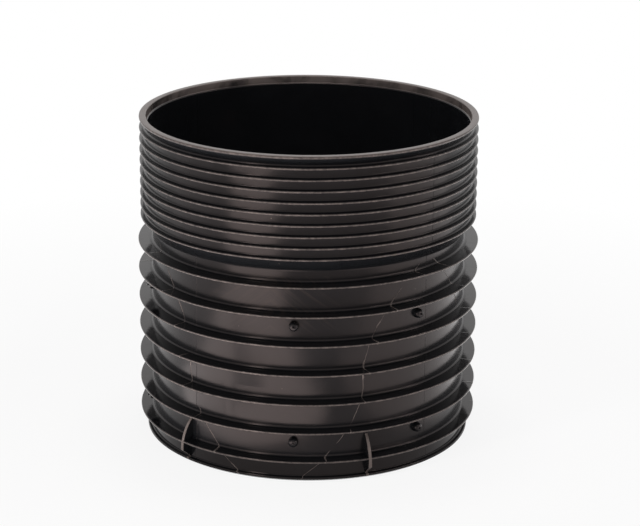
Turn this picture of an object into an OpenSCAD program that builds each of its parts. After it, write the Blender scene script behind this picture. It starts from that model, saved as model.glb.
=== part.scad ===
// Raising shaft of a drain inspection chamber: one open, moulded polypropylene
// shell. Deep flanges ring its lower part and thin ribs, at the steps where the
// shaft can be cut to length, ring its upper part.

/* [Lower wall] */
// Outer radius of the lower wall at the first flange
lower_wall_r = 215; // [190:0.5:224]
// How much the lower wall narrows up to its top flange
wall_draft = 2.5; // [0:0.5:6]
// Thickness of the lower wall
lower_wall_t = 4.5; // [3:0.5:8]

/* [Flanges] */
// Number of deep flanges
flange_count = 7; // [4:1:10]
// Height of the first flange above the foot, at mid thickness
first_flange_z = 30; // [24:1:60]
// Distance from one flange to the next
flange_pitch = 40; // [30:1:80]
// Outer radius of the flanges
flange_r = 232.5; // [229:0.5:260]
// Thickness of a flange
flange_t = 3; // [2:0.25:6]
// Radius of the fillets where a flange meets the wall
flange_fillet_r = 3; // [1:0.5:5]

/* [Shoulder] */
// Height of the cone between the lower and the upper wall
shoulder_h = 16; // [8:1:26]
// Distance from the top flange to the lowest rib
shoulder_gap = 36; // [36:1:80]

/* [Upper wall and ribs] */
// Outer radius of the upper wall
upper_wall_r = 222; // [219:0.5:224]
// Thickness of the upper wall
upper_wall_t = 4.5; // [3:0.5:8]
// Number of thin ribs under the rim
rib_count = 9; // [2:1:16]
// Distance from one rib to the next, and from the last rib to the rim
rib_pitch = 15; // [14:0.5:30]
// Outer radius of the ribs
rib_r = 229; // [227:0.5:240]
// Thickness of a rib
rib_t = 3; // [2:0.25:4]
// Radius of the fillets where a rib meets the wall
rib_fillet_r = 2.25; // [1:0.25:3]

/* [Rim] */
// Outer radius of the rim
rim_r = 229; // [227:0.5:240]
// Height of the rim's upright edge
rim_t = 3; // [2:0.25:6]
// Height of the cone that carries the rim from below
rim_cone_h = 8; // [4:0.5:8]
// Radius of the seat inside the rim
seat_r = 219.5; // [218.5:0.25:224]
// Depth of the seat below the rim's top face
seat_depth = 10; // [5:0.5:20]
// Lead-in chamfer at the mouth of the seat
seat_lead = 1; // [0.5:0.25:2]

/* [Spigot] */
// Outer radius of the spigot's wall, below the first flange
spigot_r = 218.5; // [216:0.5:222]
// Thickness of the spigot's wall
spigot_t = 4.5; // [3:0.5:8]
// Outer radius of the lip round the foot
lip_r = 223.5; // [222.5:0.5:228]
// Height of the lip
lip_h = 5.5; // [4:0.5:10]
// Height of the lip's lead-in chamfer
lip_lead_h = 2.5; // [1:0.25:3]
// Width of the lip's lead-in chamfer
lip_lead_w = 3.5; // [1:0.25:5]

/* [Gussets] */
// Directions of the first pair of gussets, in degrees from the front
gusset_angles = [-45.5, 21.3];
// Thickness of a gusset
gusset_t = 4.5; // [2:0.5:10]
// Outer radius that the gussets reach
gusset_r = 232; // [224:0.5:232.5]
// Height of a gusset's outermost point
gusset_corner_z = 18; // [12:0.5:24]
// Height of a gusset's foot on the spigot
gusset_foot_z = 6; // [5.5:0.5:11]
// Radius of the arc along a gusset's outer edge
gusset_arc_r = 60; // [40:1:90]

/* [Gate bosses] */
// Directions of one group of gate bosses, in degrees from the front
gate_angles = [-4.5, 42.5];
// Number of groups, spread evenly round the shaft
gate_groups = 3; // [1:1:4]
// Height of a row of gate bosses above the flange below it
gate_rise = 23; // [12:0.5:26]
// Radius of a gate boss
gate_r = 6; // [4:0.5:9]
// How far a gate boss stands out of the wall
gate_h = 8.5; // [2:0.5:11]
// Radius of the stub left by the gate
stub_r = 1.5; // [1:0.25:3]
// How far the stub stands out of its boss
stub_h = 2.5; // [1:0.5:6]

/* [Edges] */
// Radius of the rounding along every moulded edge
edge_r = 0.75; // [0.25:0.25:0.9]

/* [Hidden] */

// Steps in a fillet's or a rounding's quarter circle
FILLET_STEPS = 4;
EDGE_STEPS = 2;
// Steps along a gusset's arc
GUSSET_STEPS = 10;
// Facets of the full turn and of the small round bosses
$fn = 180;
BOSS_FN = 48;

top_flange_z = first_flange_z + (flange_count - 1) * flange_pitch;
first_rib_z = top_flange_z + shoulder_gap;
rim_z = first_rib_z + rib_count * rib_pitch;
shaft_h = rim_z + rim_t / 2;
flange_zs = [for (i = [0 : flange_count - 1]) first_flange_z + i * flange_pitch];
rib_zs = [for (i = [0 : rib_count - 1]) first_rib_z + i * rib_pitch];
upper_bore_r = upper_wall_r - upper_wall_t;
spigot_bore_r = spigot_r - spigot_t;
// One row of gate bosses stands above the first flange, one above the third from the top
gate_zs = [for (z = [flange_zs[0], flange_zs[flange_count - 3]]) z + gate_rise];
shoulder_top_z = first_rib_z - rib_t / 2;
shoulder_foot_z = shoulder_top_z - shoulder_h;

// Outer radius of the lower wall at height z
function wall_r(z) =
    lower_wall_r - wall_draft * (z - first_flange_z) / (top_flange_z - first_flange_z);

// Points of an arc round centre c, from angle a to angle b
function arc(c, r, a, b, steps) =
    [for (i = [0 : steps]) c + r * [cos(a + (b - a) * i / steps), sin(a + (b - a) * i / steps)]];

// Outline of one ring from below to above: root fillet, rounded edge, root fillet
function ring_outline(z, root_r, tip_r, t, fillet) =
    let (low = z - t / 2, high = z + t / 2)
    concat(
        arc([root_r + fillet, low - fillet], fillet, 180, 90, FILLET_STEPS),
        arc([tip_r - edge_r, low + edge_r], edge_r, -90, 0, EDGE_STEPS),
        arc([tip_r - edge_r, high - edge_r], edge_r, 0, 90, EDGE_STEPS),
        arc([root_r + fillet, high + fillet], fillet, 270, 180, FILLET_STEPS));

// The first flange: the wall below it is the spigot's
function first_flange_outline() =
    let (low = first_flange_z - flange_t / 2, high = first_flange_z + flange_t / 2, f = flange_fillet_r)
    concat(
        arc([spigot_r + f, low - f], f, 180, 90, FILLET_STEPS),
        arc([flange_r - edge_r, low + edge_r], edge_r, -90, 0, EDGE_STEPS),
        arc([flange_r - edge_r, high - edge_r], edge_r, 0, 90, EDGE_STEPS),
        arc([wall_r(high) + f, high + f], f, 270, 180, FILLET_STEPS));

function flange_outlines() =
    [for (z = flange_zs) if (z > first_flange_z)
        each ring_outline(z, wall_r(z), flange_r, flange_t, flange_fillet_r)];

// The lowest rib has the shoulder's cone below it in place of a fillet
function first_rib_outline() =
    let (high = first_rib_z + rib_t / 2, low = first_rib_z - rib_t / 2, f = rib_fillet_r)
    concat(
        arc([rib_r - edge_r, low + edge_r], edge_r, -90, 0, EDGE_STEPS),
        arc([rib_r - edge_r, high - edge_r], edge_r, 0, 90, EDGE_STEPS),
        arc([upper_wall_r + f, high + f], f, 270, 180, FILLET_STEPS));

function rib_outlines() =
    [for (z = rib_zs) if (z > first_rib_z)
        each ring_outline(z, upper_wall_r, rib_r, rib_t, rib_fillet_r)];

function shoulder_outline() =
    [[wall_r(shoulder_foot_z), shoulder_foot_z], [upper_wall_r, shoulder_top_z]];

function rim_outline() =
    let (low = shaft_h - rim_t)
    concat(
        [[upper_wall_r, low - rim_cone_h]],
        arc([rim_r - edge_r, low + edge_r], edge_r, -45, 0, EDGE_STEPS),
        arc([rim_r - edge_r, shaft_h - edge_r], edge_r, 0, 90, EDGE_STEPS),
        [[seat_r + seat_lead, shaft_h], [seat_r, shaft_h - seat_lead]],
        [[seat_r, shaft_h - seat_depth]],
        arc([upper_bore_r + edge_r, shaft_h - seat_depth - edge_r], edge_r, 90, 180, EDGE_STEPS));

// Inside of the shell, from the upper bore down to the foot
function bore_outline() =
    [[upper_bore_r, shoulder_top_z],
     [wall_r(shoulder_foot_z) - lower_wall_t, shoulder_foot_z],
     [wall_r(first_flange_z) - lower_wall_t, first_flange_z + flange_t / 2],
     [spigot_bore_r, first_flange_z - flange_t / 2 - flange_fillet_r]];

function lip_outline() =
    let (lip_foot_r = lip_r - lip_lead_w)
    concat(
        [[spigot_bore_r, 0], [lip_foot_r, 0], [lip_r, lip_lead_h]],
        arc([lip_r - edge_r, lip_h - edge_r], edge_r, 0, 90, EDGE_STEPS),
        arc([spigot_r + edge_r, lip_h + edge_r], edge_r, 270, 180, EDGE_STEPS));

module shell() {
    rotate_extrude()
        polygon(concat(lip_outline(), first_flange_outline(), flange_outlines(),
            shoulder_outline(), first_rib_outline(), rib_outlines(), rim_outline(), bore_outline()));
}

// One upright web that braces the spigot against the first flange and the wall above it
module gusset() {
    spigot_root_r = spigot_r - spigot_t / 2;
    wall_root_r = lower_wall_r - lower_wall_t / 2;
    arc_centre = [gusset_r - gusset_arc_r, gusset_corner_z];
    arc_end = acos((wall_root_r - arc_centre.x) / gusset_arc_r);
    rotate([90, 0, 0])
        linear_extrude(gusset_t, center = true)
            polygon(concat(
                [[spigot_root_r, gusset_foot_z], [spigot_r, gusset_foot_z]],
                arc(arc_centre, gusset_arc_r, 0, arc_end, GUSSET_STEPS),
                [[wall_root_r, first_flange_z], [spigot_root_r, first_flange_z]]));
}

// Two opposite pairs of gussets; angle 0 is the front, -Y
module gussets() {
    for (side = [0, 180], a = gusset_angles)
        rotate(a + side - 90) gusset();
}

// Round boss with the stub of its gate, standing out of the wall at height z
module gate_boss(z) {
    root_r = wall_r(z) - lower_wall_t / 2;
    boss_face_r = wall_r(z) + gate_h;
    translate([0, 0, z]) rotate([0, 90, 0]) {
        translate([0, 0, root_r]) cylinder(h = boss_face_r - root_r, r = gate_r, $fn = BOSS_FN);
        translate([0, 0, root_r]) cylinder(h = boss_face_r + stub_h - root_r, r = stub_r, $fn = BOSS_FN);
    }
}

module gate_bosses() {
    for (group = [0 : gate_groups - 1], a = gate_angles, z = gate_zs)
        rotate(a + group * 360 / gate_groups - 90) gate_boss(z);
}

module chamber_riser() {
    color("#2e2c2c") union() {
        shell();
        gussets();
        gate_bosses();
    }
}

chamber_riser();
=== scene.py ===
"""Raising shaft of a drain inspection chamber: one black polypropylene moulding, standing on a pale floor."""

import math

import bmesh
import bpy
from bpy.props import FloatProperty, FloatVectorProperty, IntProperty, PointerProperty, StringProperty
from mathutils import Matrix, Vector


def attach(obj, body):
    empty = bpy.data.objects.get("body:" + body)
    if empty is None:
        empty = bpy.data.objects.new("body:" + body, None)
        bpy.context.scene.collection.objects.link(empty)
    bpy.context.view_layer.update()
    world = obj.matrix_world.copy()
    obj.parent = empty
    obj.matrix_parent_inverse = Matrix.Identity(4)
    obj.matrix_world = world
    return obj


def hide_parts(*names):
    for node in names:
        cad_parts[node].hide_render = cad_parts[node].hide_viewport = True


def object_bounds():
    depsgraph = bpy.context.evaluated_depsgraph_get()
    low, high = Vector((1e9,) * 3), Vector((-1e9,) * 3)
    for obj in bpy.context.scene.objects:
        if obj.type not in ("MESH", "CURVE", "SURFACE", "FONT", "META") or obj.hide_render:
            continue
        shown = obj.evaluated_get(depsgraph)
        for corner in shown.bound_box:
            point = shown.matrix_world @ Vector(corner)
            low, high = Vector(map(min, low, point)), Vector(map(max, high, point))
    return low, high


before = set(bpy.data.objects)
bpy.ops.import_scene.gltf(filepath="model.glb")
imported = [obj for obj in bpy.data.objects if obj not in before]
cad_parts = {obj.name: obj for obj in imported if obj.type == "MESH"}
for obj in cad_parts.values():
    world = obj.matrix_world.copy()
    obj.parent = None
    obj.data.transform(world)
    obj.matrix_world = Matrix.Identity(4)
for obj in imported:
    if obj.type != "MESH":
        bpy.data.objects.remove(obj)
CAD_LOW, CAD_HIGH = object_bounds()

bl_info = {
    "name": "Chamber riser",
    "version": (1, 0, 0),
    "blender": (4, 5, 0),
    "location": "3D View > Sidebar > Riser",
    "description": "Models and dresses the raising shaft of a drain inspection chamber",
    "category": "Object",
}

MM = 0.001
NODE = "chamber_riser"
RISER = "moulded_riser"
TINY = 0.001 * MM


# ---------------------------------------------------------------- settings


def length(name, description, mm):
    """A length property, given in millimetres."""
    return FloatProperty(
        name=name, description=description, default=mm * MM, unit="LENGTH", subtype="DISTANCE", precision=5,
    )


def angle(name, description, degrees):
    """An angle property, given in degrees."""
    return FloatProperty(name=name, description=description, default=math.radians(degrees), subtype="ANGLE")


def colour(name, description, code):
    """A colour property, given as sRGB hex."""
    return StringProperty(name=name, description=description, default=code)


class RiserSizes(bpy.types.PropertyGroup):
    """Sizes of the moulding, the same as the solid's"""

    height: FloatProperty(
        name="Height", description="Overall height of the shaft", default=CAD_HIGH.z - CAD_LOW.z,
        unit="LENGTH", subtype="DISTANCE",
    )
    flange_r: FloatProperty(
        name="Flange radius", description="Outer radius of the deep flanges", default=CAD_HIGH.x,
        unit="LENGTH", subtype="DISTANCE",
    )
    wall_foot_r: length("Wall radius, foot", "Outer radius of the lower wall at the first flange", 215)
    wall_top_r: length("Wall radius, top", "Outer radius of the lower wall at the top flange", 212.5)
    wall_t: length("Wall", "Thickness of the wall", 4.5)
    flange_count: IntProperty(name="Flanges", description="Number of deep flanges", default=7, min=2)
    first_flange_z: length("First flange", "Height of the first flange at mid thickness", 30)
    flange_pitch: length("Flange pitch", "Distance from one flange to the next", 40)
    flange_t: length("Flange thickness", "Thickness of a flange", 3)
    flange_fillet: length("Flange fillet", "Radius where a flange meets the wall", 3)
    shoulder_gap: length("Shoulder gap", "Distance from the top flange to the lowest rib", 36)
    shoulder_h: length("Shoulder", "Height of the cone under the lowest rib", 16)
    upper_wall_r: length("Upper wall radius", "Outer radius of the upper wall", 222)
    rib_count: IntProperty(name="Ribs", description="Number of thin ribs under the rim", default=9, min=1)
    rib_pitch: length("Rib pitch", "Distance from one rib to the next", 15)
    rib_r: length("Rib radius", "Outer radius of the ribs and the rim", 229)
    rib_t: length("Rib thickness", "Thickness of a rib", 3)
    rib_fillet: length("Rib fillet", "Radius where a rib meets the wall", 2.25)
    rim_cone_h: length("Rim cone", "Height of the cone that carries the rim", 8)
    seat_r: length("Seat radius", "Radius of the seat inside the rim", 219.5)
    seat_depth: length("Seat depth", "Depth of the seat below the rim", 10)
    seat_lead: length("Seat lead-in", "Chamfer at the mouth of the seat", 1)
    spigot_r: length("Spigot radius", "Outer radius of the wall below the first flange", 218.5)
    lip_r: length("Lip radius", "Outer radius of the lip round the foot", 223.5)
    lip_h: length("Lip height", "Height of the lip", 5.5)
    lip_lead_h: length("Lip lead-in height", "Height of the lip's chamfer", 2.5)
    lip_lead_w: length("Lip lead-in width", "Width of the lip's chamfer", 3.5)
    edge_r: length("Edge radius", "Rounding along every moulded edge", 1.25)
    turn_steps: IntProperty(name="Turn steps", description="Steps of the full turn", default=240, min=24)


class DetailSizes(bpy.types.PropertyGroup):
    """Sizes of what stands on the wall"""

    gusset_a: angle("Left gusset", "Direction of the left gusset from the front", -45.5)
    gusset_b: angle("Right gusset", "Direction of the right gusset from the front", 21.3)
    gusset_t: length("Gusset thickness", "Thickness of a gusset", 4.5)
    gusset_r: length("Gusset radius", "Outer radius that a gusset reaches", 233.2)
    gusset_corner_z: length("Gusset corner", "Height of a gusset's outermost point", 18)
    gusset_foot_z: length("Gusset foot", "Height of a gusset's foot on the spigot", 6)
    gusset_arc_r: length("Gusset arc", "Radius along a gusset's outer edge", 60)
    gate_a: angle("Left gate", "Direction of the left gate boss from the front", -4.5)
    gate_b: angle("Right gate", "Direction of the right gate boss from the front", 42.5)
    gate_groups: IntProperty(
        name="Gate groups", description="Groups of gate bosses round the shaft", default=3, min=1,
    )
    gate_rise: length("Gate rise", "Height of a gate boss above the flange below it", 23)
    gate_r: length("Gate boss radius", "Radius of a gate boss", 6)
    gate_h: length("Gate boss height", "How far a gate boss stands out of the wall", 8.5)
    stub_r: length("Stub radius", "Radius of the broken-off gate stub", 1.5)
    stub_h: length("Stub height", "How far the stub stands out of its boss", 2.5)


class RiserFinish(bpy.types.PropertyGroup):
    """Colours of the black polypropylene and how rough it is"""

    body: colour("Body", "Black polypropylene", "#151618")
    bloom: colour("Bloom", "Paler clouds where the melt flowed", "#18191B")
    splay: colour("Splay", "Silvery streaks that fan out from the gates", "#2A2523")
    # A pale grey on edges, rim, seat, the gussets' outer edges and the weld lines: partly wear, partly a
    # painted highlight that stands for the glints there
    rubbed_and_highlit: colour("Rubbed", "Edges rubbed grey by stacking and handling", "#6A615D")
    dust: colour("Dust", "Specks of site dust", "#6E6760")
    sheen: colour("Sheen", "Tint of the gloss", "#FFE8E2")
    shine: FloatProperty(name="Shine", description="Strength of the gloss", default=0.2, min=0, max=1)
    roughness: FloatProperty(
        name="Roughness", description="Roughness of the moulded face", default=0.2, min=0, max=1,
    )


class StageSettings(bpy.types.PropertyGroup):
    """Camera and light"""

    lens: FloatProperty(
        name="Lens", description="Focal length in millimetres on a 36 mm sensor", default=121.39,
    )
    camera_at: FloatVectorProperty(
        name="Camera", description="Where the camera stands", default=(0.0163, -2.8316, 1.1439),
        subtype="TRANSLATION", unit="LENGTH",
    )
    camera_down: angle("Camera tilt", "How far the camera looks down", 17.895)
    camera_roll: angle("Camera roll", "How far the camera leans", 0.419)
    power: FloatProperty(name="Power", description="Share of every lamp's power", default=1.0, min=0)
    lamps: colour("Lamps", "Colour of the soft lamps", "#FFFBFA")
    sky: colour("Sky", "Colour of the light from all round", "#FAFCFF")
    sky_strength: FloatProperty(
        name="Sky strength", description="Strength of the light from all round", default=0.30, min=0,
    )


# ---------------------------------------------------------------- small tools


def linear(code):
    """An sRGB hex colour as linear RGBA."""
    parts = [int(code[i : i + 2], 16) / 255 for i in (1, 3, 5)]
    return [c / 12.92 if c <= 0.04045 else ((c + 0.055) / 1.055) ** 2.4 for c in parts] + [1.0]


def deselect():
    """Leaves object mode with nothing selected."""
    if bpy.context.object and bpy.context.object.mode != "OBJECT":
        bpy.ops.object.mode_set(mode="OBJECT")
    bpy.ops.object.select_all(action="DESELECT")


def select_where(kind, test):
    """In edit mode, selects only the vertices, edges or faces of the active mesh that pass the test."""
    mesh = bmesh.from_edit_mesh(bpy.context.object.data)
    bpy.ops.mesh.select_all(action="DESELECT")
    for item in getattr(mesh, kind):
        if test(item):
            item.select_set(True)
    mesh.select_flush_mode()
    bmesh.update_edit_mesh(bpy.context.object.data)


def start_vertex(name, point):
    """A new object in edit mode with one selected vertex, from a plane merged to its centre."""
    deselect()
    bpy.ops.mesh.primitive_plane_add(size=10 * MM, location=(0, 0, 0))
    made = bpy.context.object
    made.name = made.data.name = name
    bpy.ops.object.mode_set(mode="EDIT")
    bpy.ops.mesh.select_mode(type="VERT")
    bpy.ops.mesh.select_all(action="SELECT")
    bpy.ops.mesh.merge(type="CENTER")
    bpy.ops.transform.translate(value=point)
    return made


def draw_to(point, last):
    """Extrudes the selected vertex from the last corner to the next one."""
    bpy.ops.mesh.extrude_region_move(TRANSFORM_OT_translate={"value": Vector(point) - Vector(last)})


def finish_normals(gap=0.01 * MM):
    """Merges what coincides and turns all faces outwards."""
    bpy.ops.mesh.select_all(action="SELECT")
    bpy.ops.mesh.remove_doubles(threshold=gap)
    bpy.ops.mesh.normals_make_consistent(inside=False)


def fuse(body, parts):
    """Joins the parts into one object and unites it with the body."""
    deselect()
    for part in parts:
        part.select_set(True)
    bpy.context.view_layer.objects.active = parts[0]
    if len(parts) > 1:
        bpy.ops.object.join()
    tool = bpy.context.object
    deselect()
    body.select_set(True)
    bpy.context.view_layer.objects.active = body
    union = body.modifiers.new("union", "BOOLEAN")
    union.operation = "UNION"
    union.solver = "MANIFOLD"
    union.object = tool
    bpy.ops.object.modifier_apply(modifier=union.name)
    bpy.data.objects.remove(tool)


def place(direction, radius=0.0, z=0.0):
    """Matrix that takes +X to a direction round the shaft, measured from the front (-Y) towards the right."""
    return Matrix.Rotation(direction - math.pi / 2, 4, "Z") @ Matrix.Translation((radius, 0, z))


def copy_to(source, matrix):
    """A copy with its own mesh, turned and moved within the mesh."""
    twin = source.copy()
    twin.data = source.data.copy()
    twin.data.transform(matrix)
    bpy.context.collection.objects.link(twin)
    return twin


def wall_radius(s, z):
    """Outer radius of the lower wall at height z."""
    top = s.first_flange_z + (s.flange_count - 1) * s.flange_pitch
    return s.wall_foot_r + (s.wall_top_r - s.wall_foot_r) * (z - s.first_flange_z) / (top - s.first_flange_z)


# ---------------------------------------------------------------- the moulding


class RISER_OT_shell(bpy.types.Operator):
    """Draw the wall's outline corner by corner, round its corners and spin it into the open shell"""

    bl_idname = "riser.shell"
    bl_label = "Spin the shell"

    def execute(self, context):
        s = context.scene.riser_sizes
        flanges = [s.first_flange_z + i * s.flange_pitch for i in range(s.flange_count)]
        first_rib = flanges[-1] + s.shoulder_gap
        ribs = [first_rib + i * s.rib_pitch for i in range(s.rib_count)]
        ft, rt, top = s.flange_t / 2, s.rib_t / 2, s.height
        shoulder_top = first_rib - rt
        shoulder_foot = shoulder_top - s.shoulder_h
        spigot_bore, upper_bore = s.spigot_r - s.wall_t, s.upper_wall_r - s.wall_t

        corners = [(spigot_bore, 0, None), (s.lip_r - s.lip_lead_w, 0, None), (s.lip_r, s.lip_lead_h, None)]
        corners += [(s.lip_r, s.lip_h, "edge"), (s.spigot_r, s.lip_h, "edge")]
        for z in flanges:
            below = s.spigot_r if z == flanges[0] else wall_radius(s, z - ft)
            corners += [
                (below, z - ft, "flange"), (s.flange_r, z - ft, "edge"), (s.flange_r, z + ft, "edge"),
            ]
            corners += [(wall_radius(s, z + ft), z + ft, "flange")]
        corners += [
            (wall_radius(s, shoulder_foot), shoulder_foot, "soft"), (s.upper_wall_r, shoulder_top, None),
        ]
        for z in ribs:
            if z != ribs[0]:
                corners += [(s.upper_wall_r, z - rt, "rib")]
            corners += [
                (s.rib_r, z - rt, "edge"), (s.rib_r, z + rt, "edge"), (s.upper_wall_r, z + rt, "rib"),
            ]
        corners += [
            (s.upper_wall_r, top - s.rib_t - s.rim_cone_h, "soft"), (s.rib_r, top - s.rib_t, "edge"),
            (s.rib_r, top, "edge"),
        ]
        corners += [(s.seat_r + s.seat_lead, top, None), (s.seat_r, top - s.seat_lead, None)]
        corners += [(s.seat_r, top - s.seat_depth, "edge"), (upper_bore, top - s.seat_depth, "edge")]
        corners += [
            (upper_bore, shoulder_top, "soft"),
            (wall_radius(s, shoulder_foot) - s.wall_t, shoulder_foot, "soft"),
        ]
        corners += [(s.wall_foot_r - s.wall_t, s.first_flange_z + ft, None)]
        corners += [(spigot_bore, s.first_flange_z - ft - s.flange_fillet, None)]

        points = [Vector((r, 0, z)) for r, z, _ in corners]
        start_vertex(RISER, points[0])
        for last, point in zip(points, points[1:]):
            draw_to(point, last)
        ends = (points[0], points[-1])
        select_where("verts", lambda v: any((v.co - end).length < TINY for end in ends))
        bpy.ops.mesh.edge_face_add()

        rounds = (
            ("flange", s.flange_fillet, 4), ("rib", s.rib_fillet, 4), ("edge", s.edge_r, 2),
            ("soft", 2 * s.edge_r, 3),
        )
        for kind, radius, steps in rounds:
            marked = [p for p, c in zip(points, corners) if c[2] == kind]
            select_where("verts", lambda v: any((v.co - p).length < TINY for p in marked))
            bpy.ops.mesh.bevel(
                offset=radius, offset_type="OFFSET", segments=steps, profile=0.5, affect="VERTICES",
            )

        bpy.ops.mesh.select_all(action="SELECT")
        bpy.ops.mesh.spin(steps=s.turn_steps, angle=2 * math.pi, center=(0, 0, 0), axis=(0, 0, 1))
        finish_normals()
        bpy.ops.object.mode_set(mode="OBJECT")
        return {"FINISHED"}


class RISER_OT_gussets(bpy.types.Operator):
    """Model one web that braces the spigot against the first flange, and fuse its copies with the shell"""

    bl_idname = "riser.gussets"
    bl_label = "Add the gussets"

    def execute(self, context):
        s, d = context.scene.riser_sizes, context.scene.riser_details
        spigot_root = s.spigot_r - s.wall_t / 2
        wall_root = s.wall_foot_r - s.wall_t / 2
        centre = Vector((d.gusset_r - d.gusset_arc_r, 0, d.gusset_corner_z))
        turn = math.acos((wall_root - centre.x) / d.gusset_arc_r)

        corner = Vector((d.gusset_r, 0, d.gusset_corner_z))
        web = start_vertex("gusset", corner)
        bpy.ops.mesh.spin(steps=12, angle=turn, center=centre, axis=(0, 1, 0))
        arc_end = centre + d.gusset_arc_r * Vector((math.cos(turn), 0, math.sin(turn)))
        # Down inside the wall and the spigot, out to the spigot's face; the last edge closes the outline
        inside = [(wall_root, s.first_flange_z), (spigot_root, s.first_flange_z)]
        inside += [(spigot_root, d.gusset_foot_z), (s.spigot_r, d.gusset_foot_z)]
        chain = [arc_end] + [Vector((r, 0, z)) for r, z in inside]
        for last, point in zip(chain, chain[1:]):
            draw_to(point, last)
        bpy.ops.mesh.select_all(action="SELECT")
        bpy.ops.mesh.edge_face_add()
        bpy.ops.mesh.select_all(action="SELECT")
        bpy.ops.mesh.extrude_region_move(TRANSFORM_OT_translate={"value": (0, d.gusset_t, 0)})
        bpy.ops.mesh.select_all(action="SELECT")
        bpy.ops.transform.translate(value=(0, -d.gusset_t / 2, 0))
        finish_normals()
        outer = wall_root + s.wall_t / 2 + MM

        def along_outer_edge(edge):
            a, b = (v.co for v in edge.verts)
            return min(a.x, b.x) > outer and abs(a.y - b.y) < TINY

        select_where("edges", along_outer_edge)
        bpy.ops.mesh.bevel(offset=0.1 * d.gusset_t, segments=2, affect="EDGES")
        finish_normals()
        bpy.ops.object.mode_set(mode="OBJECT")

        directions = [a + side for side in (0, math.pi) for a in (d.gusset_a, d.gusset_b)]
        webs = [copy_to(web, place(a)) for a in directions]
        bpy.data.objects.remove(web)
        fuse(bpy.data.objects[RISER], webs)
        return {"FINISHED"}


class RISER_OT_gate_bosses(bpy.types.Operator):
    """Model one round domed boss with its broken-off stub, and fuse its copies with the shell"""

    bl_idname = "riser.gate_bosses"
    bl_label = "Add the gate bosses"

    def execute(self, context):
        s, d = context.scene.riser_sizes, context.scene.riser_details
        root = s.wall_t / 2
        deselect()
        bpy.ops.mesh.primitive_cone_add(
            vertices=32, radius1=1.15 * d.gate_r, radius2=d.gate_r, depth=root + d.gate_h,
            location=(0, 0, 0),
        )
        boss = bpy.context.object
        boss.name = boss.data.name = "gate_boss"
        bpy.ops.object.mode_set(mode="EDIT")
        bpy.ops.mesh.select_mode(type="FACE")
        top = (root + d.gate_h) / 2
        select_where("faces", lambda f: f.normal.z > 0.9)
        bpy.ops.mesh.inset(thickness=d.gate_r - d.stub_r, depth=0)
        bpy.ops.mesh.extrude_region_move(TRANSFORM_OT_translate={"value": (0, 0, d.stub_h * 0.75)})
        bpy.ops.transform.resize(value=(0.8, 0.8, 1))
        bpy.ops.mesh.extrude_region_move(
            TRANSFORM_OT_translate={"value": (0.1 * d.stub_r, 0.2 * d.stub_r, d.stub_h * 0.25)}
        )
        bpy.ops.transform.resize(value=(0.55, 0.7, 1))

        def round_the_top(edge):
            return all(
                abs(v.co.z - top) < TINY and abs(v.co.xy.length - d.gate_r) < TINY for v in edge.verts
            )

        select_where("edges", round_the_top)
        bpy.ops.mesh.bevel(offset=0.7 * d.gate_r, segments=6, affect="EDGES")
        bpy.ops.mesh.select_all(action="SELECT")
        bpy.ops.transform.translate(value=(0, 0, top - root))
        finish_normals()
        bpy.ops.object.mode_set(mode="OBJECT")

        lie_down = Matrix.Rotation(math.pi / 2, 4, "Y")
        # One row stands above the first flange and one above the third from the top
        rows = [s.first_flange_z, s.first_flange_z + (s.flange_count - 3) * s.flange_pitch]
        bosses = []
        for z in (row + d.gate_rise for row in rows):
            for group in range(d.gate_groups):
                for a in (d.gate_a, d.gate_b):
                    spot = place(a + group * 2 * math.pi / d.gate_groups, wall_radius(s, z), z)
                    bosses.append(copy_to(boss, spot @ lie_down))
        bpy.data.objects.remove(boss)
        fuse(bpy.data.objects[RISER], bosses)
        return {"FINISHED"}


# ---------------------------------------------------------------- the finish


def add_node(tree, kind, column, row, settings=None, values=None):
    """Adds a node with its settings, and gives each input a value or a link from another node's output."""
    made = tree.nodes.new(kind)
    made.location = (220 * column, -200 * row)
    for key, value in (settings or {}).items():
        setattr(made, key, value)
    for key, value in (values or {}).items():
        if isinstance(value, bpy.types.NodeSocket):
            tree.links.new(value, made.inputs[key])
        else:
            made.inputs[key].default_value = value
    return made


# Marks of moulding and of use. Sizes and heights are in millimetres, directions and widths round the
# shaft in degrees.
CLOUD_SIZE = 60
SCUFF_SIZE = 7
RUB_SCATTER = 1.6
SPECK_GAP = 28
BAND_WIDTH = 25
BAND_DEPTH = 0.4
PEEL_SIZE = 9
PEEL_DEPTH = 0.15
GRAIN_SIZE = 1.2
GRAIN_DEPTH = 0.04
RIDGE_HEIGHT = 0.35
# The ribs stand above the middle of the shoulder, the weld lines and streaks end just below it
SHOULDER_MIDDLE = 290.0
MARKS_TOP = 280.0
OUT_OF_REACH = -1000.0
# Weld lines: the middle of a pair, half the turn from pair to pair, and how far a line stands off the
# middle, leans over and wanders
WELD_PAIR_AT = 12.75
WELD_PAIR_HALF = 60.0
WELD_OUT = 31.95
WELD_LEAN = 18.5
WELD_WANDER = 2.4
WELD_WANDER_SIZE = 35
WELD_PATCH_SIZE = 24
WELD_HALF_WIDTH = 0.22
FLASH_HALF_WIDTH = 0.42
WELD_UPRIGHT_Z = 140
WELD_RISE = 125
# Parting lines of the slides
SLIDE_SPLIT_AT = 43.0
SLIDE_HALF = 45.0
PARTING_HALF_WIDTH = 0.14
# Flow streaks above the upper gates
STREAK_GAP = 9
STREAK_SLANT = 1.3
STREAKS_FROM_Z = 185.0
STREAKS_FULL_Z = 225.0
STREAKS_OUTER = 28.0
STREAKS_INNER = 14.0
MM_A_DEGREE = 3.75
# What the marks add to the roughness
SCATTER_ROUGH = 0.02
RUBBED_ROUGH = 0.12
STREAK_ROUGH = 0.05
SLEEK_ROUGH = -0.09


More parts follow.
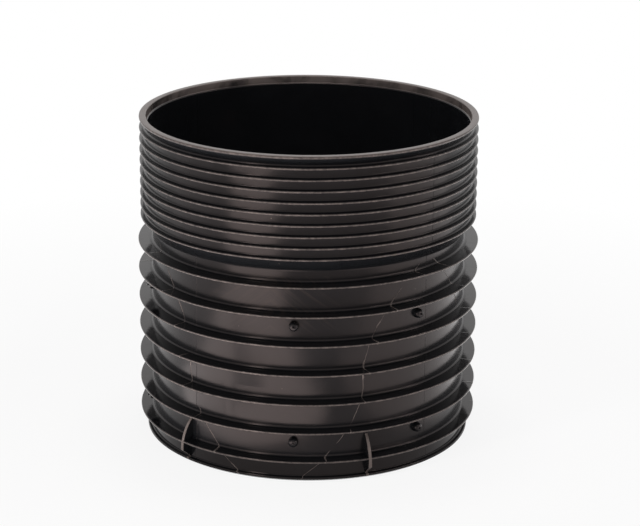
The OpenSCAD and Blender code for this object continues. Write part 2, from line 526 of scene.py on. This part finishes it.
def moulded_polypropylene(finish, s, d):
    """Black polypropylene, injection moulded: a satin skin with a faint orange peel, cloudy flow marks and
    streaks above the gates, fine weld lines where the melt fronts met, parting lines of the mould's
    slides, and edges, rim and seat painted a pale grey that is partly wear from use and partly painted
    highlight, the same grey that paints highlight on the gussets' outer edges and the weld lines."""
    material = bpy.data.materials.new("moulded_black_polypropylene")
    material.use_nodes = True
    tree = material.node_tree
    tree.nodes.clear()
    out = add_node(tree, "ShaderNodeOutputMaterial", 12, 0)
    place_of = add_node(tree, "ShaderNodeTexCoord", 0, 0)
    in_mm = add_node(
        tree, "ShaderNodeVectorMath", 1, 0, {"operation": "SCALE"},
        {0: place_of.outputs["Object"], "Scale": 1 / MM},
    )
    mm = in_mm.outputs[0]

    # Clouds where the melt cooled unevenly
    clouds = add_node(
        tree, "ShaderNodeTexNoise", 2, 1, None,
        {"Vector": mm, "Scale": 1 / CLOUD_SIZE, "Detail": 3.0, "Roughness": 0.55, "Distortion": 0.6},
    )
    cloud_mix = add_node(
        tree, "ShaderNodeMapRange", 3, 1, None,
        {"Value": clouds.outputs["Fac"], "From Min": 0.35, "From Max": 0.75},
    )
    body = add_node(
        tree, "ShaderNodeMix", 4, 1, {"data_type": "RGBA"},
        {0: cloud_mix.outputs[0], 6: linear(finish.body), 7: linear(finish.bloom)},
    )

    # Pale edges, partly wear and partly painted highlight: the outermost millimetre of flanges and ribs
    split = add_node(tree, "ShaderNodeSeparateXYZ", 2, 3, None, {0: mm})
    flat = add_node(tree, "ShaderNodeCombineXYZ", 2, 4, None, {0: split.outputs[0], 1: split.outputs[1]})
    radius = add_node(tree, "ShaderNodeVectorMath", 3, 4, {"operation": "LENGTH"}, {0: flat.outputs[0]})
    upper = add_node(
        tree, "ShaderNodeMath", 3, 5, {"operation": "GREATER_THAN"},
        {0: split.outputs[2], 1: SHOULDER_MIDDLE},
    )
    reach = add_node(
        tree, "ShaderNodeMath", 4, 4, {"operation": "MULTIPLY_ADD"},
        {0: upper.outputs[0], 1: (s.flange_r - s.rib_r) / MM, 2: radius.outputs["Value"]},
    )
    scuff = add_node(
        tree, "ShaderNodeTexNoise", 4, 5, None,
        {"Vector": mm, "Scale": 1 / SCUFF_SIZE, "Detail": 4.0, "Roughness": 0.7},
    )
    edge_at = add_node(
        tree, "ShaderNodeMath", 5, 5, {"operation": "MULTIPLY_ADD"},
        {0: scuff.outputs["Fac"], 1: RUB_SCATTER, 2: reach.outputs[0]},
    )
    edges = add_node(
        tree, "ShaderNodeMapRange", 6, 4, None,
        {"Value": edge_at.outputs[0], "From Min": s.flange_r / MM + 0.2, "From Max": s.flange_r / MM + 1.2},
    )

    # The rim's face takes the pale grey all over from wear by stacking, the seat in patches from wear by the
    # covers; that grey is partly painted highlight
    height = split.outputs[2]
    face = add_node(
        tree, "ShaderNodeMapRange", 5, 17, None,
        {"Value": height, "From Min": s.height / MM - 0.8, "From Max": s.height / MM - 0.3, "To Max": 0.8},
    )
    in_seat = add_node(
        tree, "ShaderNodeMapRange", 4, 18, None,
        {"Value": radius.outputs["Value"], "From Min": s.seat_r / MM + 1.5, "From Max": s.seat_r / MM + 0.8},
    )
    seat_patch = add_node(
        tree, "ShaderNodeMapRange", 4, 19, None,
        {"Value": clouds.outputs["Fac"], "From Min": 0.3, "From Max": 0.58, "To Max": in_seat.outputs[0]},
    )
    seat = add_node(
        tree, "ShaderNodeMapRange", 5, 18, None,
        {
            "Value": height, "From Min": (s.height - s.seat_depth) / MM,
            "From Max": (s.height - s.seat_depth) / MM + 0.5, "To Max": seat_patch.outputs[0],
        },
    )
    worn_and_highlit = add_node(
        tree, "ShaderNodeMath", 6, 17, {"operation": "MAXIMUM"}, {0: face.outputs[0], 1: seat.outputs[0]},
    )
    worn_and_highlit = add_node(
        tree, "ShaderNodeMath", 7, 17, {"operation": "MAXIMUM"}, {0: worn_and_highlit.outputs[0], 1: edges.outputs[0]},
    )

    # Direction round the shaft, 0 at the front, in degrees
    frontwards = add_node(
        tree, "ShaderNodeMath", 3, 7, {"operation": "MULTIPLY"}, {0: split.outputs[1], 1: -1.0},
    )
    turn = add_node(
        tree, "ShaderNodeMath", 3, 8, {"operation": "ARCTAN2"},
        {0: split.outputs[0], 1: frontwards.outputs[0]},
    )
    degrees = add_node(tree, "ShaderNodeMath", 4, 8, {"operation": "DEGREES"}, {0: turn.outputs[0]})

    # The gussets' outer edges take the pale grey too, as a painted highlight along each edge
    web_half = math.degrees(0.5 * d.gusset_t / s.flange_r) - 0.03
    low = add_node(
        tree, "ShaderNodeMath", 5, 20, {"operation": "LESS_THAN"}, {0: height, 1: 2 * s.first_flange_z / MM},
    )
    for row, web in enumerate((d.gusset_a, d.gusset_b)):
        off_web = add_node(
            tree, "ShaderNodeMath", 5, 21 + row, {"operation": "SUBTRACT"},
            {0: degrees.outputs[0], 1: math.degrees(web)},
        )
        off_web = add_node(
            tree, "ShaderNodeMath", 6, 21 + row, {"operation": "WRAP"},
            {0: off_web.outputs[0], 1: 90.0, 2: -90.0},
        )
        off_web = add_node(
            tree, "ShaderNodeMath", 7, 21 + row, {"operation": "ABSOLUTE"}, {0: off_web.outputs[0]},
        )
        band = add_node(
            tree, "ShaderNodeMapRange", 8, 21 + row, None,
            {
                "Value": off_web.outputs[0], "From Min": web_half, "From Max": web_half - 0.08,
                "To Max": low.outputs[0],
            },
        )
        worn_and_highlit = add_node(
            tree, "ShaderNodeMath", 9, 21 + row, {"operation": "MAXIMUM"},
            {0: worn_and_highlit.outputs[0], 1: band.outputs[0]},
        )
    # The pale grey of wear and painted highlight, mixed over the body's colour
    rubbed_and_highlit = add_node(
        tree, "ShaderNodeMix", 6, 1, {"data_type": "RGBA"},
        {0: worn_and_highlit.outputs[0], 6: body.outputs[2], 7: linear(finish.rubbed_and_highlit)},
    )

    # Specks of dust, about 1 mm across and about a gap apart
    specks = add_node(
        tree, "ShaderNodeTexVoronoi", 4, 6, None, {"Vector": mm, "Scale": 1 / SPECK_GAP, "Randomness": 1.0},
    )
    dusty = add_node(
        tree, "ShaderNodeMapRange", 6, 6, None,
        {
            "Value": specks.outputs["Distance"], "From Min": 0.028, "From Max": 0.015, "To Min": 0.0,
            "To Max": 0.8,
        },
    )
    dusted = add_node(
        tree, "ShaderNodeMix", 7, 1, {"data_type": "RGBA"},
        {0: dusty.outputs[0], 6: rubbed_and_highlit.outputs[2], 7: linear(finish.dust)},
    )

    # Weld lines: three mirrored pairs, which lean away from each other towards the top. Each is a hairline,
    # with a ridge of flash in places
    from_pair = add_node(
        tree, "ShaderNodeMath", 5, 7, {"operation": "ADD"}, {0: degrees.outputs[0], 1: WELD_PAIR_AT},
    )
    fold = add_node(
        tree, "ShaderNodeMath", 5, 8, {"operation": "WRAP"},
        {0: from_pair.outputs[0], 1: WELD_PAIR_HALF, 2: -WELD_PAIR_HALF},
    )
    half = add_node(tree, "ShaderNodeMath", 6, 8, {"operation": "ABSOLUTE"}, {0: fold.outputs[0]})
    rise = add_node(
        tree, "ShaderNodeMath", 4, 9, {"operation": "MULTIPLY_ADD"},
        {0: split.outputs[2], 1: 1 / WELD_RISE, 2: -WELD_UPRIGHT_Z / WELD_RISE},
    )
    rise_abs = add_node(tree, "ShaderNodeMath", 5, 9, {"operation": "ABSOLUTE"}, {0: rise.outputs[0]})
    lean = add_node(
        tree, "ShaderNodeMath", 6, 9, {"operation": "MULTIPLY"},
        {0: rise.outputs[0], 1: rise_abs.outputs[0]},
    )
    wander = add_node(
        tree, "ShaderNodeTexNoise", 5, 10, None,
        {"Vector": mm, "Scale": 1 / WELD_WANDER_SIZE, "Detail": 2.0},
    )
    course = add_node(
        tree, "ShaderNodeMath", 6, 10, {"operation": "MULTIPLY_ADD"},
        {0: wander.outputs["Fac"], 1: WELD_WANDER, 2: WELD_OUT},
    )
    line_at = add_node(
        tree, "ShaderNodeMath", 7, 9, {"operation": "MULTIPLY_ADD"},
        {0: lean.outputs[0], 1: WELD_LEAN, 2: course.outputs[0]},
    )
    off_line = add_node(
        tree, "ShaderNodeMath", 8, 9, {"operation": "SUBTRACT"}, {0: half.outputs[0], 1: line_at.outputs[0]},
    )
    off_line_abs = add_node(
        tree, "ShaderNodeMath", 9, 9, {"operation": "ABSOLUTE"}, {0: off_line.outputs[0]},
    )
    weld = add_node(
        tree, "ShaderNodeMapRange", 10, 9, {"interpolation_type": "SMOOTHSTEP"},
        {
            "Value": off_line_abs.outputs[0], "From Min": 0.0, "From Max": WELD_HALF_WIDTH, "To Min": 1.0,
            "To Max": 0.0,
        },
    )
    below = add_node(
        tree, "ShaderNodeMath", 9, 10, {"operation": "LESS_THAN"}, {0: split.outputs[2], 1: MARKS_TOP},
    )
    gaps = add_node(
        tree, "ShaderNodeTexNoise", 9, 8, None, {"Vector": mm, "Scale": 1 / WELD_PATCH_SIZE, "Detail": 0.0},
    )
    dashes = add_node(
        tree, "ShaderNodeMapRange", 10, 8, None,
        {"Value": gaps.outputs["Fac"], "From Min": 0.36, "From Max": 0.46, "To Max": below.outputs[0]},
    )
    hairline = add_node(
        tree, "ShaderNodeMath", 11, 9, {"operation": "MULTIPLY"}, {0: weld.outputs[0], 1: dashes.outputs[0]},
    )
    wide = add_node(
        tree, "ShaderNodeMapRange", 10, 10, {"interpolation_type": "SMOOTHSTEP"},
        {
            "Value": off_line_abs.outputs[0], "From Min": 0.0, "From Max": FLASH_HALF_WIDTH, "To Min": 2.2,
            "To Max": 0.0,
        },
    )
    spots = add_node(
        tree, "ShaderNodeMapRange", 11, 8, None,
        {"Value": gaps.outputs["Fac"], "From Min": 0.56, "From Max": 0.60, "To Max": below.outputs[0]},
    )
    flash = add_node(
        tree, "ShaderNodeMath", 11, 10, {"operation": "MULTIPLY"}, {0: wide.outputs[0], 1: spots.outputs[0]},
    )
    weld_line = add_node(
        tree, "ShaderNodeMath", 12, 9, {"operation": "MAXIMUM"},
        {0: hairline.outputs[0], 1: flash.outputs[0]},
    )

    # Parting lines of the mould's four slides
    from_split = add_node(
        tree, "ShaderNodeMath", 4, 11, {"operation": "ADD"}, {0: degrees.outputs[0], 1: SLIDE_SPLIT_AT},
    )
    slide = add_node(
        tree, "ShaderNodeMath", 5, 11, {"operation": "WRAP"},
        {0: from_split.outputs[0], 1: SLIDE_HALF, 2: -SLIDE_HALF},
    )
    slide_abs = add_node(tree, "ShaderNodeMath", 6, 11, {"operation": "ABSOLUTE"}, {0: slide.outputs[0]})
    parting = add_node(
        tree, "ShaderNodeMapRange", 7, 11, {"interpolation_type": "SMOOTHSTEP"},
        {
            "Value": slide_abs.outputs[0], "From Min": 0.0, "From Max": PARTING_HALF_WIDTH, "To Min": 0.6,
            "To Max": 0.0,
        },
    )

    # Flow streaks: the melt fanned out from the gates, so faint streaks lean both ways above the upper ones
    along = add_node(
        tree, "ShaderNodeMath", 4, 14, {"operation": "MULTIPLY"}, {0: split.outputs[2], 1: STREAK_SLANT},
    )
    across = add_node(
        tree, "ShaderNodeMath", 5, 14, {"operation": "MULTIPLY_ADD"},
        {0: half.outputs[0], 1: MM_A_DEGREE, 2: along.outputs[0]},
    )
    drawn_out = add_node(
        tree, "ShaderNodeMath", 5, 15, {"operation": "MULTIPLY"}, {0: split.outputs[2], 1: 0.12},
    )
    streak_at = add_node(
        tree, "ShaderNodeCombineXYZ", 6, 14, None, {0: across.outputs[0], 1: drawn_out.outputs[0]},
    )
    streaks = add_node(
        tree, "ShaderNodeTexNoise", 7, 14, None,
        {"Vector": streak_at.outputs[0], "Scale": 1 / STREAK_GAP, "Detail": 3.0, "Roughness": 0.65},
    )
    above_gates = add_node(
        tree, "ShaderNodeMapRange", 6, 15, {"interpolation_type": "SMOOTHSTEP"},
        {
            "Value": height, "From Min": STREAKS_FROM_Z, "From Max": STREAKS_FULL_Z,
            "To Max": below.outputs[0],
        },
    )
    patch = add_node(
        tree, "ShaderNodeMapRange", 7, 15, {"interpolation_type": "SMOOTHSTEP"},
        {
            "Value": half.outputs[0], "From Min": STREAKS_OUTER, "From Max": STREAKS_INNER,
            "To Max": above_gates.outputs[0],
        },
    )
    streaky = add_node(
        tree, "ShaderNodeMapRange", 8, 14, None,
        {"Value": streaks.outputs["Fac"], "From Min": 0.48, "From Max": 0.78, "To Max": patch.outputs[0]},
    )
    splayed = add_node(
        tree, "ShaderNodeMix", 9, 1, {"data_type": "RGBA"},
        {0: streaky.outputs[0], 6: dusted.outputs[2], 7: linear(finish.splay)},
    )

    # Faint upright bands where the wall sank a little between the slides' cooling channels
    tall = add_node(
        tree, "ShaderNodeVectorMath", 6, 16, {"operation": "MULTIPLY"}, {0: mm, 1: (1.0, 1.0, 0.18)},
    )
    bands = add_node(
        tree, "ShaderNodeTexNoise", 7, 16, None,
        {"Vector": tall.outputs[0], "Scale": 1 / BAND_WIDTH, "Detail": 2.0, "Roughness": 0.5},
    )

    # Relief: bands, orange peel, a fine moulded grain, drawn coarser than it is so that it shows, and lines
    peel = add_node(
        tree, "ShaderNodeTexNoise", 8, 12, None,
        {"Vector": mm, "Scale": 1 / PEEL_SIZE, "Detail": 2.0, "Roughness": 0.5},
    )
    grain = add_node(
        tree, "ShaderNodeTexNoise", 8, 13, None, {"Vector": mm, "Scale": 1 / GRAIN_SIZE, "Detail": 1.0},
    )
    sunk = add_node(
        tree, "ShaderNodeBump", 9, 12, None,
        {"Strength": 0.3, "Distance": BAND_DEPTH * MM, "Height": bands.outputs["Fac"]},
    )
    swell = add_node(
        tree, "ShaderNodeBump", 10, 12, None,
        {
            "Strength": 0.25, "Distance": PEEL_DEPTH * MM, "Height": peel.outputs["Fac"],
            "Normal": sunk.outputs[0],
        },
    )
    satin = add_node(
        tree, "ShaderNodeBump", 10, 13, None,
        {
            "Strength": 0.12, "Distance": GRAIN_DEPTH * MM, "Height": grain.outputs["Fac"],
            "Normal": swell.outputs[0],
        },
    )
    lines = add_node(
        tree, "ShaderNodeMath", 11, 11, {"operation": "MAXIMUM"},
        {0: weld_line.outputs[0], 1: parting.outputs[0]},
    )
    ridge = add_node(
        tree, "ShaderNodeBump", 11, 12, None,
        {
            "Strength": 1.0, "Distance": RIDGE_HEIGHT * MM, "Height": lines.outputs[0],
            "Normal": satin.outputs[0],
        },
    )

    uneven = add_node(
        tree, "ShaderNodeMapRange", 8, 2, None,
        {
            "Value": clouds.outputs["Fac"], "From Min": 0.3, "From Max": 0.7,
            "To Min": finish.roughness - SCATTER_ROUGH, "To Max": finish.roughness + SCATTER_ROUGH,
        },
    )
    streaked = add_node(
        tree, "ShaderNodeMath", 9, 3, {"operation": "MULTIPLY_ADD"},
        {0: streaky.outputs[0], 1: STREAK_ROUGH, 2: uneven.outputs[0]},
    )
    # The flanges' faces and the spigot, which a seal runs over, come smoother out of the mould than the wall.
    # The ribs above the shoulder stay out of it
    lower = add_node(
        tree, "ShaderNodeMath", 8, 4, {"operation": "MULTIPLY_ADD"},
        {0: upper.outputs[0], 1: OUT_OF_REACH, 2: radius.outputs["Value"]},
    )
    sleek = add_node(
        tree, "ShaderNodeMath", 9, 4, {"operation": "GREATER_THAN"},
        {0: lower.outputs[0], 1: s.spigot_r / MM - 0.7},
    )
    smoother = add_node(
        tree, "ShaderNodeMath", 10, 3, {"operation": "MULTIPLY_ADD"},
        {0: sleek.outputs[0], 1: SLEEK_ROUGH, 2: streaked.outputs[0]},
    )
    rough = add_node(
        tree, "ShaderNodeMath", 10, 2, {"operation": "MULTIPLY_ADD"},
        {0: worn_and_highlit.outputs[0], 1: RUBBED_ROUGH, 2: smoother.outputs[0]},
    )

    # Painted highlight: the weld lines' ridges are painted as pale as the edges
    lined = add_node(
        tree, "ShaderNodeMix", 10, 1, {"data_type": "RGBA"},
        {0: weld_line.outputs[0], 6: splayed.outputs[2], 7: linear(finish.rubbed_and_highlit)},
    )

    # Polypropylene's index is 1.49. The gloss is held below what that index gives, so that the shell stays
    # black among white surroundings
    skin = add_node(
        tree, "ShaderNodeBsdfPrincipled", 11, 0, None,
        {
            "Base Color": lined.outputs[2], "Roughness": rough.outputs[0], "IOR": 1.49,
            "Specular IOR Level": finish.shine, "Specular Tint": linear(finish.sheen),
            "Normal": ridge.outputs[0],
        },
    )
    tree.links.new(skin.outputs[0], out.inputs["Surface"])
    return material


class RISER_OT_finish(bpy.types.Operator):
    """Smooth the fused moulding, give it its material and let it stand for the solid"""

    bl_idname = "riser.finish"
    bl_label = "Finish the moulding"

    def execute(self, context):
        s, finish = context.scene.riser_sizes, context.scene.riser_finish
        riser = bpy.data.objects[RISER]
        deselect()
        riser.select_set(True)
        context.view_layer.objects.active = riser
        bpy.ops.object.shade_smooth_by_angle(angle=math.radians(50))
        even = riser.modifiers.new("even_normals", "WEIGHTED_NORMAL")
        even.keep_sharp = True
        bpy.ops.object.modifier_apply(modifier=even.name)
        riser.data.materials.clear()
        riser.data.materials.append(moulded_polypropylene(finish, s, context.scene.riser_details))
        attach(riser, "root")
        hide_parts(NODE)
        return {"FINISHED"}


# ---------------------------------------------------------------- the stage


def pale(tree, share):
    """The share of white that the rays of the camera, of gloss and of glass meet; other rays meet none."""
    path = add_node(tree, "ShaderNodeLightPath", 0, 0)
    sees = add_node(
        tree, "ShaderNodeMath", 1, 0, {"operation": "MAXIMUM"},
        {0: path.outputs["Is Camera Ray"], 1: path.outputs["Is Glossy Ray"]},
    )
    sees = add_node(
        tree, "ShaderNodeMath", 2, 0, {"operation": "MAXIMUM"},
        {0: sees.outputs[0], 1: path.outputs["Is Transmission Ray"]},
    )
    return add_node(
        tree, "ShaderNodeMath", 3, 0, {"operation": "MULTIPLY"}, {0: sees.outputs[0], 1: share},
    ).outputs[0]


def lamp(name, at, aim, size, power, tint):
    """A soft rectangular lamp that the camera doesn't see."""
    deselect()
    direction = Vector(aim) - Vector(at)
    bpy.ops.object.light_add(
        type="AREA", location=at, rotation=direction.to_track_quat("-Z", "Y").to_euler(),
    )
    made = bpy.context.object
    made.name = made.data.name = name
    made.data.shape = "RECTANGLE"
    made.data.size, made.data.size_y = size
    made.data.energy = power
    made.data.color = linear(tint)[:3]
    made.visible_camera = False
    return made


def around(direction, distance, z):
    """A point round the object, by its direction from the front in degrees."""
    a = math.radians(direction)
    return (distance * math.sin(a), -distance * math.cos(a), z)


# The soft lamps, in round numbers: name, direction from the front in degrees, distance from the axis and
# height above the floor in metres, the lamp's own width and height in metres, and watts. The reflectors
# lie on the floor and shine up.
LAMPS = (
    ("left_reflector", -36, 1.0, 0.006, 0.7, 1.4, 13.0),
    ("far_left_reflector", -80, 1.0, 0.006, 0.9, 1.4, 2.0),
    ("right_reflector", 80, 1.0, 0.006, 1.2, 1.4, 7.0),
    ("left_strip", -32, 1.6, 0.35, 0.3, 0.5, 3.0),
    ("right_strip", 60, 1.6, 0.45, 1.0, 0.1, 4.0),
    ("left_softbox", -42, 1.6, 1.6, 0.3, 0.4, 8.0),
    ("right_softbox", 95, 1.6, 1.6, 0.4, 0.4, 4.0),
    ("overhead", 180, 0.3, 2.4, 0.6, 0.6, 16.0),
)


# In metres: where the lamps point, below what height one lies on the floor, the floor's radius, and the
# distances between which the floor's own shade fades out. Beside the shaft its white has this share
AIM = (0, 0, 0.22)
ON_FLOOR = 0.05
FLOOR_R = 8
SHADOW_NEAR = 0.5
SHADOW_FAR = 1.2
WHITE_NEAR = 0.88


class RISER_OT_stage(bpy.types.Operator):
    """Set up the camera, the pale floor and the soft lamps"""

    bl_idname = "riser.stage"
    bl_label = "Set the stage"

    def execute(self, context):
        st = context.scene.riser_stage
        deselect()
        bpy.ops.object.camera_add(location=st.camera_at)
        camera = bpy.context.object
        camera.name = "camera"
        camera.data.lens = st.lens
        camera.data.sensor_width = 36
        tilt = Matrix.Rotation(math.pi / 2 - st.camera_down, 4, "X")
        roll = Matrix.Rotation(st.camera_roll, 4, "Z")
        camera.rotation_euler = (tilt @ roll).to_euler()
        context.scene.camera = camera

        deselect()
        bpy.ops.mesh.primitive_circle_add(vertices=96, radius=FLOOR_R, fill_type="NGON", location=(0, 0, 0))
        floor = bpy.context.object
        floor.name = floor.data.name = "floor"
        paper = bpy.data.materials.new("matt_white_paper")
        paper.use_nodes = True
        tree = paper.node_tree
        tree.nodes.clear()
        # White to the eye and to gloss, and matt paper to the rest. Near the shaft some of the paper's own
        # shade shows, so that the floor keeps the shadow
        white = add_node(tree, "ShaderNodeEmission", 4, 1, None, {"Color": (1, 1, 1, 1), "Strength": 1.0})
        matt = add_node(tree, "ShaderNodeBsdfDiffuse", 4, 2, None, {"Color": linear("#F2F2F2")})
        where = add_node(tree, "ShaderNodeTexCoord", 0, 3)
        far = add_node(
            tree, "ShaderNodeVectorMath", 1, 3, {"operation": "LENGTH"}, {0: where.outputs["Object"]},
        )
        share = add_node(
            tree, "ShaderNodeMapRange", 2, 3, None,
            {
                "Value": far.outputs["Value"], "From Min": SHADOW_NEAR, "From Max": SHADOW_FAR,
                "To Min": WHITE_NEAR,
            },
        )
        mixed = add_node(
            tree, "ShaderNodeMixShader", 5, 0, None,
            {0: pale(tree, share.outputs[0]), 1: matt.outputs[0], 2: white.outputs[0]},
        )
        add_node(tree, "ShaderNodeOutputMaterial", 6, 0, None, {"Surface": mixed.outputs[0]})
        floor.data.materials.append(paper)

        world = bpy.data.worlds.new("white_set")
        world.use_nodes = True
        context.scene.world = world
        tree = world.node_tree
        tree.nodes.clear()
        # White to the eye and to gloss, and a faint even light to the rest
        seen = pale(tree, 1.0)
        strength = add_node(
            tree, "ShaderNodeMapRange", 4, 0, None,
            {"Value": seen, "To Min": st.sky_strength, "To Max": 1.0},
        )
        tint = add_node(
            tree, "ShaderNodeMix", 4, 1, {"data_type": "RGBA"},
            {0: seen, 6: linear(st.sky), 7: (1, 1, 1, 1)},
        )
        sky = add_node(
            tree, "ShaderNodeBackground", 5, 0, None,
            {"Color": tint.outputs[2], "Strength": strength.outputs[0]},
        )
        add_node(tree, "ShaderNodeOutputWorld", 6, 0, None, {"Surface": sky.outputs[0]})

        for name, direction, distance, z, wide, tall, watts in LAMPS:
            made = lamp(name, around(direction, distance, z), AIM, (wide, tall), watts * st.power, st.lamps)
            if z < ON_FLOOR:
                made.rotation_euler = (math.pi, 0, math.radians(direction))
        context.scene.view_settings.view_transform = "Standard"
        return {"FINISHED"}


# ---------------------------------------------------------------- add-on


STEPS = ("riser.stage", "riser.shell", "riser.gussets", "riser.gate_bosses", "riser.finish")


class RISER_PT_panel(bpy.types.Panel):
    """Lists the steps and the settings"""

    bl_idname = "RISER_PT_panel"
    bl_label = "Chamber riser"
    bl_space_type = "VIEW_3D"
    bl_region_type = "UI"
    bl_category = "Riser"

    def draw(self, context):
        for step in STEPS:
            self.layout.operator(step)
        for group in GROUPS:
            box = self.layout.box()
            settings = getattr(context.scene, group)
            for name in settings.__annotations__:
                box.prop(settings, name)


GROUPS = {
    "riser_sizes": RiserSizes, "riser_details": DetailSizes, "riser_finish": RiserFinish,
    "riser_stage": StageSettings,
}
CLASSES = list(GROUPS.values()) + [
    RISER_OT_stage, RISER_OT_shell, RISER_OT_gussets, RISER_OT_gate_bosses, RISER_OT_finish, RISER_PT_panel,
]


def register():
    for item in CLASSES:
        bpy.utils.register_class(item)
    for name, group in GROUPS.items():
        setattr(bpy.types.Scene, name, PointerProperty(type=group))


def unregister():
    for name in GROUPS:
        delattr(bpy.types.Scene, name)
    for item in reversed(CLASSES):
        bpy.utils.unregister_class(item)


def main():
    register()
    for step in STEPS:
        family, name = step.split(".")
        getattr(getattr(bpy.ops, family), name)()


if __name__ == "__main__":
    main()
